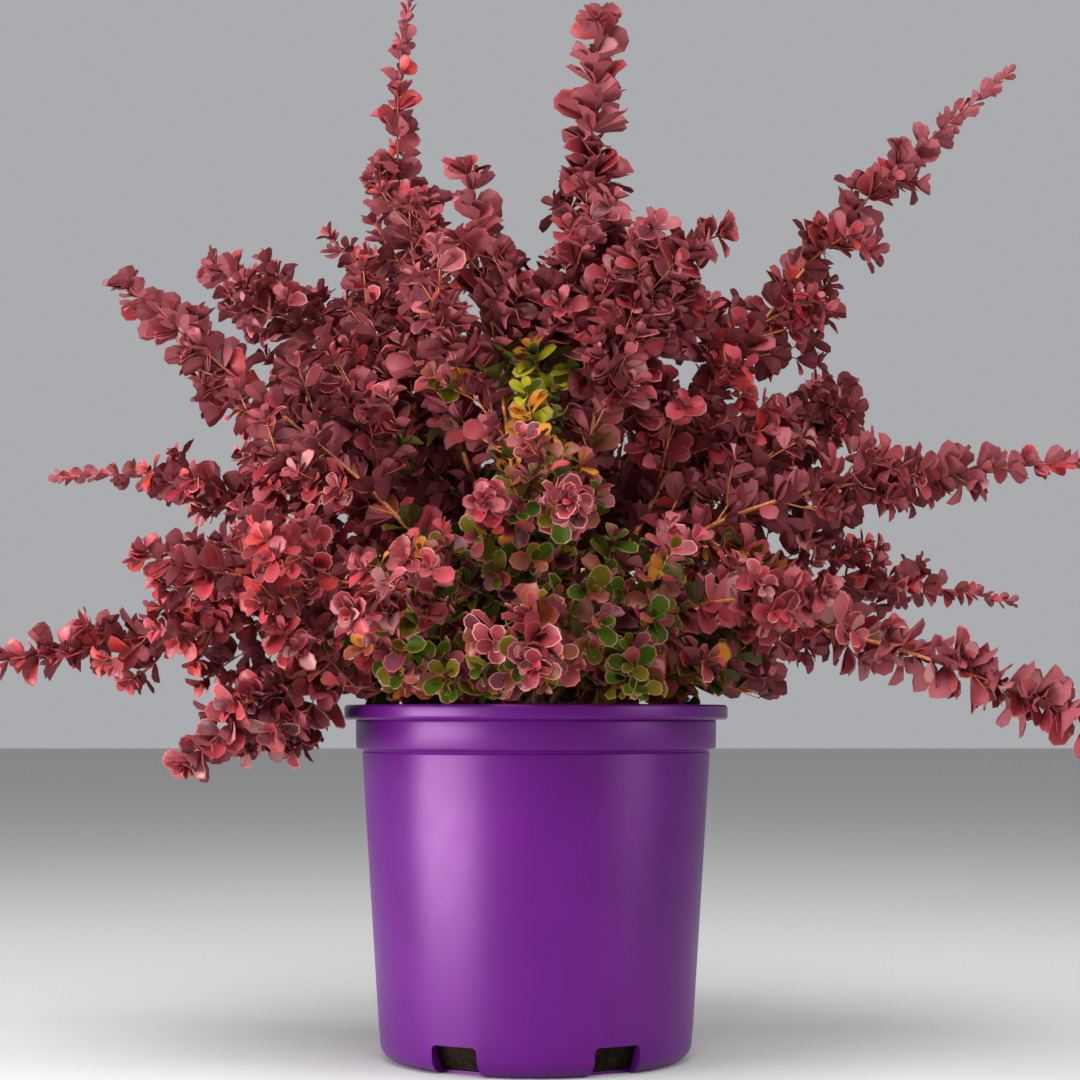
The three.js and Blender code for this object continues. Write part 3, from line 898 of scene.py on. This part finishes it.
# The dense middle of the crown, where fewer twigs grow and the leaves turn green; their colours are
# also kept dark as painted shade, for the shadow in the crown's middle
shadedHeart = {
    "place": (0.008, -0.040, 0.261),
    "reach": (0.108, 0.155, 0.092),
    "twigShare": 0.5,
    "edge": (0.7, 1.15),
    "emberEdge": (0.9, 1.6),
    "emberShare": 0.4,
}

# Sprays on the viewer's side wear another look round these places: x and z, reach and look
accents = [
    ((-0.008, 0.405), 0.024, "lime"),
    ((-0.032, 0.356), 0.028, "lime"),
    ((0.002, 0.362), 0.030, "ember"),
    ((-0.052, 0.385), 0.026, "ember"),
    ((0.012, 0.262), 0.058, "shadedHeart"),
    ((-0.028, 0.225), 0.050, "shadedHeart"),
    ((0.060, 0.235), 0.034, "shadedHeart"),
    ((0.010, 0.315), 0.050, "ember"),
]


def opened(shoot, at, turn, opening):
    # The direction that opens from a shoot at one of its places, turned round it, in degrees
    along = shoot.alongAt(at)
    side = along.cross(upward)
    if side.length < 0.05:
        side = along.cross(Vector((0, 1, 0)))
    side.normalize()
    outward = Matrix.Rotation(math.radians(turn), 3, along) @ side
    tilt = math.radians(opening)
    return (along * math.cos(tilt) + outward * math.sin(tilt)).normalized(), outward


def heartDepth(point):
    # 0 at the crown's dense middle and 1 at its edge
    offset = point - Vector(shadedHeart["place"])
    return math.sqrt(sum((x / r) ** 2 for x, r in zip(offset, shadedHeart["reach"])))


def lookFor(point, look, rng):
    # The look of a spray at a place: an accent's, the heart's, or else its cane's own
    if point.y < 0 and look != "rosette":
        for (x, z), reach, other in accents:
            if math.hypot(point.x - x, point.z - z) < reach * rng.uniform(0.8, 1.1):
                return other
    depth = heartDepth(point)
    if depth < rng.uniform(*shadedHeart["edge"]):
        return "shadedHeart"
    if depth < rng.uniform(*shadedHeart["emberEdge"]) and rng.random() < shadedHeart["emberShare"]:
        return "ember"
    return look


def addLeaf(wood, root, heading, face, length, look, rng):
    # A leaf at its root, left out where it would touch the pot or hang too low
    f = leafForm
    colours, pinkShare = looks[look]
    colour = rng.choice(colours)
    if colour in greenish:
        margin, under = "yellowMargin", "greenUnder"
    else:
        margin, under = "pinkMargin" if rng.random() < pinkShare else "redMargin", "roseUnder"
    across = heading.cross(face)
    if across.length < 1e-4:
        return
    across.normalize()
    upper = across.cross(heading)
    wide = length * rng.uniform(*f["widths"])
    tip = root + heading * length
    middle = root + heading * f["widestAt"] * length
    edges = [middle + across * side * f["halfWidth"] * wide for side in (-1, 1)]
    if not clearOfPot([root, tip, *edges], wood["droops"]) or tip.z < f["lowestTip"]:
        return
    deep = max(length, f["leastDeep"])
    matrix = Matrix((across * wide, heading * length, upper * deep)).transposed()
    wood["leaves"].append({
        "form": rng.randrange(len(leafTemplates)),
        "matrix": np.array(matrix),
        "root": np.array(root),
        "slots": (slotOf[colour], slotOf[margin], slotOf[under]),
    })


def faceFor(heading, along, rng):
    # Faces look up the shoot and to the light, each rolled a little round its own leaf
    roll = Matrix.Rotation(math.radians(rng.gauss(0, leafing["roll"])), 3, heading)
    return roll @ (along * 0.8 + upward * 0.5)


def growWhip(wood, shoot, whip, leafLength, rng):
    # The tip that still grows: small red leaves pressed to it in pairs
    g = leafing
    turn = rng.uniform(0, 360)
    at = shoot.length - 0.001
    while at > shoot.length - whip:
        share = (shoot.length - at) / 0.05
        for aside in (0, 180):
            heading, outward = opened(shoot, at, turn + aside, rng.uniform(*g["whipOpening"]))
            root = shoot.placeAt(at) + outward * shoot.radiusAt(at) * 0.6
            face = faceFor(heading, shoot.alongAt(at), rng)
            size = (0.34 + 0.3 * share) * rng.uniform(*g["whipSize"])
            addLeaf(wood, root, heading, face, leafLength * size, "tip", rng)
        turn += 90 + rng.uniform(-25, 25)
        at -= g["whipStep"] + 0.004 * share


def growLeaves(wood, shoot, start, end, leafLength, look, rng, tipShare, tapers, clusters, step):
    # Clusters that climb a shoot, each with one full leaf and a few lesser ones, smaller to its tip
    g = leafing
    turn = rng.uniform(0, 360)
    at = end
    while at > start:
        fullness = min(1, tipShare + (1 - tipShare) * (end - at) / tapers)
        ease = 0.6 + 0.4 * fullness
        place = shoot.placeAt(at)
        for i in range(rng.choice(clusters)):
            aside = rng.uniform(-g["spread"], g["spread"]) if i else 0
            tilt = g["opening"] * ease * rng.uniform(*g["openingSpread"])
            heading, outward = opened(shoot, at, turn + aside, tilt)
            face = faceFor(heading, shoot.alongAt(at), rng)
            size = fullness * rng.uniform(*g["lesserSize"] if i else g["firstSize"])
            root = place + outward * shoot.radiusAt(at) * 0.6
            addLeaf(wood, root, heading, face, leafLength * size, look, rng)
        if rng.random() < g["thornShare"]:
            thorn, _ = opened(shoot, at, turn + 180, g["thornOpening"])
            wood["thorns"].append((place, thorn, g["thornLength"] * rng.uniform(0.6, 1.1)))
        at -= step * ease * rng.uniform(0.85, 1.15)
        turn += g["goldenTurn"]


def growRosette(wood, shoot, leafLength, look, rng):
    # The whorl that ends a twig: wide outer leaves with their faces outward, smaller ones within
    g = leafing
    count = rng.choice(g["rosetteCounts"])
    turn = rng.uniform(0, 360)
    for i in range(count):
        share = i / (count - 1)
        at = shoot.length - g["rosetteDepth"] * (1 - share)
        tilt = g["rosetteOuter"] + (g["rosetteInner"] - g["rosetteOuter"]) * share
        heading, _ = opened(shoot, at, turn + g["goldenTurn"] * i, tilt * rng.uniform(0.9, 1.1))
        face = shoot.alongAt(at) + Vector([rng.gauss(0, 0.12) for _ in range(3)])
        size = (0.9 - 0.45 * share) * rng.uniform(0.9, 1.1)
        addLeaf(wood, shoot.placeAt(at), heading, face, leafLength * size, look, rng)


def bentTwig(start, heading, pull, length, radius, rng):
    # A twig that leaves its shoot straight and bends towards the light
    steps = twigging["segments"]
    points = [start]
    for _ in range(steps):
        wander = Vector([rng.gauss(0, twigging["wander"]) for _ in range(3)])
        heading = (heading + pull / steps + wander).normalized()
        points.append(points[-1] + heading * length / steps)
    return Shoot(points, radius, max(twigging["finest"], radius * twigging["tipGirth"]))


def growTwig(wood, number, shoot, at, turn, longest, rng):
    # A side twig as long as its cane's own space allows, or nothing where that is too short
    t = twigging
    if heartDepth(shoot.placeAt(at)) < 1 and rng.random() > shadedHeart["twigShare"]:
        return None
    heading, _ = opened(shoot, at, turn, t["opening"] * rng.uniform(0.85, 1.15))
    pull = upward * plan[number]["lift"] + shoot.alongAt(at) * t["forward"]
    radius = max(t["thinnest"], shoot.radiusAt(at) * t["girthShare"])
    state = rng.getstate()
    length = longest
    while length > t["shortest"]:
        rng.setstate(state)
        twig = bentTwig(shoot.placeAt(at), heading, pull, length, radius, rng)
        outer = twig.points[2:]
        inside = all(inOwnSpace(number, point, t["slack"]) for point in outer[::2])
        if inside and clearOfPot(outer, wood["droops"], t["potSpare"]):
            wood["twigs"].append(twig)
            return twig
        length -= t["shortening"]
    return None


def twigLength(cane, spikeStart, at):
    # Short sprigs on the lower spike, then twigs that lengthen towards the cane's root
    t = twigging
    if at > spikeStart:
        nearness = max(0, 1 - (at - spikeStart) / (t["sprigShare"] * cane["spike"]))
        return t["shortest"] + (t["first"] - t["shortest"]) * nearness ** 0.7 * cane["bushy"]
    return min(t["longest"], t["first"] + t["lengthening"] * (spikeStart - at)) * cane["bushy"]


def growSpike(wood, cane, start, rng):
    # The leafy end of a cane: a red whip, or a rosette where the tip is blunt
    g = leafing
    shoot = cane["shoot"]
    growWhip(wood, shoot, cane["whip"], cane["leaf"], rng)
    blunt = cane["whip"] < 0.01
    tipShare = g["bluntShare"] if blunt else g["tipShare"]
    growLeaves(wood, shoot, start, shoot.length - cane["whip"], cane["leaf"] * leafShares["spike"],
               cane["look"], rng, tipShare, g["tipTaper"], g["spikeClusters"], g["spikeStep"])
    if blunt:
        growRosette(wood, shoot, cane["leaf"] * leafShares["bluntTip"], cane["look"], rng)


def growCane(number, wood):
    g = leafing
    t = twigging
    cane = plan[number]
    shoot = cane["shoot"]
    rng = random.Random(100 + number)
    spikeStart = shoot.length - cane["spike"]
    firstLeaf = cane["bare"] + g["stemStart"] if cane["bare"] else 0.02
    growSpike(wood, cane, spikeStart, rng)
    small = cane["leaf"] * leafShares["subTwig"]
    at = spikeStart
    while at > firstLeaf:
        look = lookFor(shoot.placeAt(at), cane["look"], rng)
        below = at - g["lookReach"]
        growLeaves(wood, shoot, max(below, firstLeaf), at, cane["leaf"] * leafShares["stem"], look, rng,
                   1, 1, g["clusters"], g["nodeStep"])
        at = below
    turn = rng.uniform(0, 360)
    at = spikeStart + t["sprigShare"] * cane["spike"]
    while at > firstLeaf + 0.012:
        turn += g["goldenTurn"]
        longest = twigLength(cane, spikeStart, at) * rng.uniform(0.7, 1.15)
        twig = growTwig(wood, number, shoot, at, turn, longest, rng)
        at -= t["step"] * rng.uniform(0.8, 1.2)
        if not twig:
            continue
        leafTwig(wood, twig, g["twigStart"], cane["leaf"] * leafShares["twig"], cane["look"], rng)
        out = twig.length * 0.75
        while out > t["subTwigFrom"]:
            turn += g["goldenTurn"]
            inner = growTwig(wood, number, twig, out, turn, twig.length * t["subTwigShare"], rng)
            if inner:
                leafTwig(wood, inner, g["subTwigStart"], small, cane["look"], rng)
            out -= t["subTwigStep"] * rng.uniform(0.8, 1.2)
    at = cane["bare"]
    while at > t["sprigFrom"]:
        turn += g["goldenTurn"]
        sprig = growTwig(wood, number, shoot, at, turn, t["sprigLength"] * rng.uniform(0.6, 1.3), rng)
        if sprig:
            leafTwig(wood, sprig, g["subTwigStart"], small, "shadedHeart", rng)
        at -= t["sprigStep"]


def leafTwig(wood, twig, start, leafLength, look, rng):
    # Leaves along a twig and the rosette that ends it
    g = leafing
    if look == "rosette" and rng.random() > g["rosetteShare"]:
        look = "wine"
    look = lookFor(twig.points[-1], look, rng)
    growLeaves(wood, twig, start, twig.length - g["twigEnd"], leafLength, look, rng, g["twigTipShare"],
               g["twigTaper"], g["clusters"], g["nodeStep"])
    growRosette(wood, twig, leafLength, look, rng)


def makeFoliage():
    wood = {"leaves": [], "twigs": [], "thorns": []}
    groups = {}
    for number, cane in enumerate(plan):
        wood["droops"] = cane["droops"]
        before = len(wood["leaves"])
        growCane(number, wood)
        key = f"leaves_{cane['tier']}_{cane['side']}"
        members, leaves = groups.setdefault(key, ([], []))
        members.append(f"foliage_{cane['name']}")
        leaves += wood["leaves"][before:]
    for name, (nodes, leaves) in groups.items():
        mesh = joinedLeaves(name, leaves)
        pieceFrom(name, mesh, leafFinishes, nodes)
        print(name, len(leaves), "leaves", len(mesh.polygons), "triangles")
    makeStems(wood["twigs"])
    makeThorns(wood["thorns"])


def makeStems(twigs):
    # The leafy stem of each cane and its side twigs, redder to the tip and olive in the heart
    finishes = [youngBark(f"{name}_bark") for name in ("tan", "orange", "red", "olive")]
    tan, orange, red, olive = range(len(finishes))
    w = woodShape
    stems = []
    for cane in plan:
        shoot = cane["shoot"]
        start = cane["bare"]
        steps = int((shoot.length - start) / w["stemStep"])
        marks = [start + (shoot.length - start) * i / steps for i in range(steps + 1)]
        swells = [w["stemKnuckle"] if i % 2 else 1 for i in range(steps + 1)]
        line = [(shoot.placeAt(at), shoot.radiusAt(at) * swell) for at, swell in zip(marks, swells)]
        young = next(i for i, at in enumerate(marks) if at >= shoot.length - cane["spike"])
        young = min(max(young, 1), steps - 1)
        stems.append((line[:young + 1], orange))
        stems.append((line[young:], red))
    mesh = tubes("leafy_stems", stems, 8, finishes)
    mesh.shade_smooth()
    pieceFrom("leafy_stems", mesh, [])
    rng = random.Random(41)
    fine = []
    for twig in twigs:
        deep = heartDepth(twig.points[-1]) < 1
        finish = rng.choice((tan, olive) if deep else (tan, orange, orange, red))
        marks = [twig.length * i / 5 for i in range(6)]
        fine.append(([(twig.placeAt(at), twig.radiusAt(at)) for at in marks], finish))
    mesh = tubes("side_twigs", fine, 6, finishes)
    mesh.shade_smooth()
    pieceFrom("side_twigs", mesh, [])
    print("stems:", len(stems), "twigs:", len(fine))


def makeThorns(thorns):
    thick, thin = woodShape["thornRadii"]
    lines = []
    for place, heading, length in thorns:
        lines.append(([(place, thick), (place + heading * length, thin)], 0))
    mesh = tubes("thorns", lines, 4, [youngBark("thorn_bark")])
    pieceFrom("thorns", mesh, [])
    print("thorns:", len(lines))


# Stage, light and camera

stagePlan = {
    "cameraPlace": (0.0024, -1.380, 0.202),
    "cameraAim": (0.0024, 0, 0.202),
    "sensorWidth": 36,
    "viewAngle": 26.43,
    "lensShift": 0.1667,
    "floorSize": 30,
    "sky": (0.8, 0.82, 0.85, 1),
    "skyStrength": 0.5,
    # Name: place, aim, size and power in watts
    "softboxes": {
        "left_softbox": ((-1.6, -0.6, 0.6), (0, 0, 0.2), (0.9, 1.2), 11),
        "low_strip": ((-1.2, -0.72, 0.13), (0, 0, 0.12), (1.05, 0.24), 27),
        "front_fill": ((0.4, -1.9, 1.9), (0, 0, 0.35), (1.8, 1.0), 23),
        "top_softbox": ((-0.3, -0.7, 2.0), (0, 0, 0.35), (1.4, 1.4), 36),
        "right_fill": ((1.65, -0.7, 0.8), (0, 0, 0.35), (0.9, 1.4), 20),
    },
}


def turnedTo(place, aim):
    return (Vector(aim) - Vector(place)).to_track_quat("-Z", "Y").to_euler()


def softbox(name, place, aim, size, power):
    light = bpy.data.lights.new(name, "AREA")
    light.shape = "RECTANGLE"
    light.size, light.size_y = size
    light.energy = power
    lamp = bpy.data.objects.new(name, light)
    scene.collection.objects.link(lamp)
    lamp.location = place
    lamp.rotation_euler = turnedTo(place, aim)


def makeStage():
    s = stagePlan
    shape = bmesh.new()
    bmesh.ops.create_grid(shape, x_segments=1, y_segments=1, size=s["floorSize"] / 2)
    floor = bpy.data.objects.new("floor", meshFrom(shape, "floor"))
    scene.collection.objects.link(floor)
    paper = Finish("pale_floor", "c3c3c1", Roughness=0.9)
    floor.data.materials.append(paper.material)
    for name, values in s["softboxes"].items():
        softbox(name, *values)
    world = bpy.data.worlds.new("studio")
    world.use_nodes = True
    background = world.node_tree.nodes["Background"]
    background.inputs["Color"].default_value = s["sky"]
    background.inputs["Strength"].default_value = s["skyStrength"]
    scene.world = world
    scene.view_settings.view_transform = "Standard"
    camera = bpy.data.objects.new("photo_camera", bpy.data.cameras.new("photo_camera"))
    scene.collection.objects.link(camera)
    camera.data.sensor_width = s["sensorWidth"]
    camera.data.lens = s["sensorWidth"] / 2 / math.tan(math.radians(s["viewAngle"] / 2))
    camera.data.shift_y = s["lensShift"]  # a level camera at the rim, its picture cut higher
    camera.location = s["cameraPlace"]
    camera.rotation_euler = turnedTo(s["cameraPlace"], s["cameraAim"])
    scene.camera = camera


makeStage()
makePot()
makePottingMix()
makeWoodyFoot()
makeBoughs()
makeFoliage()
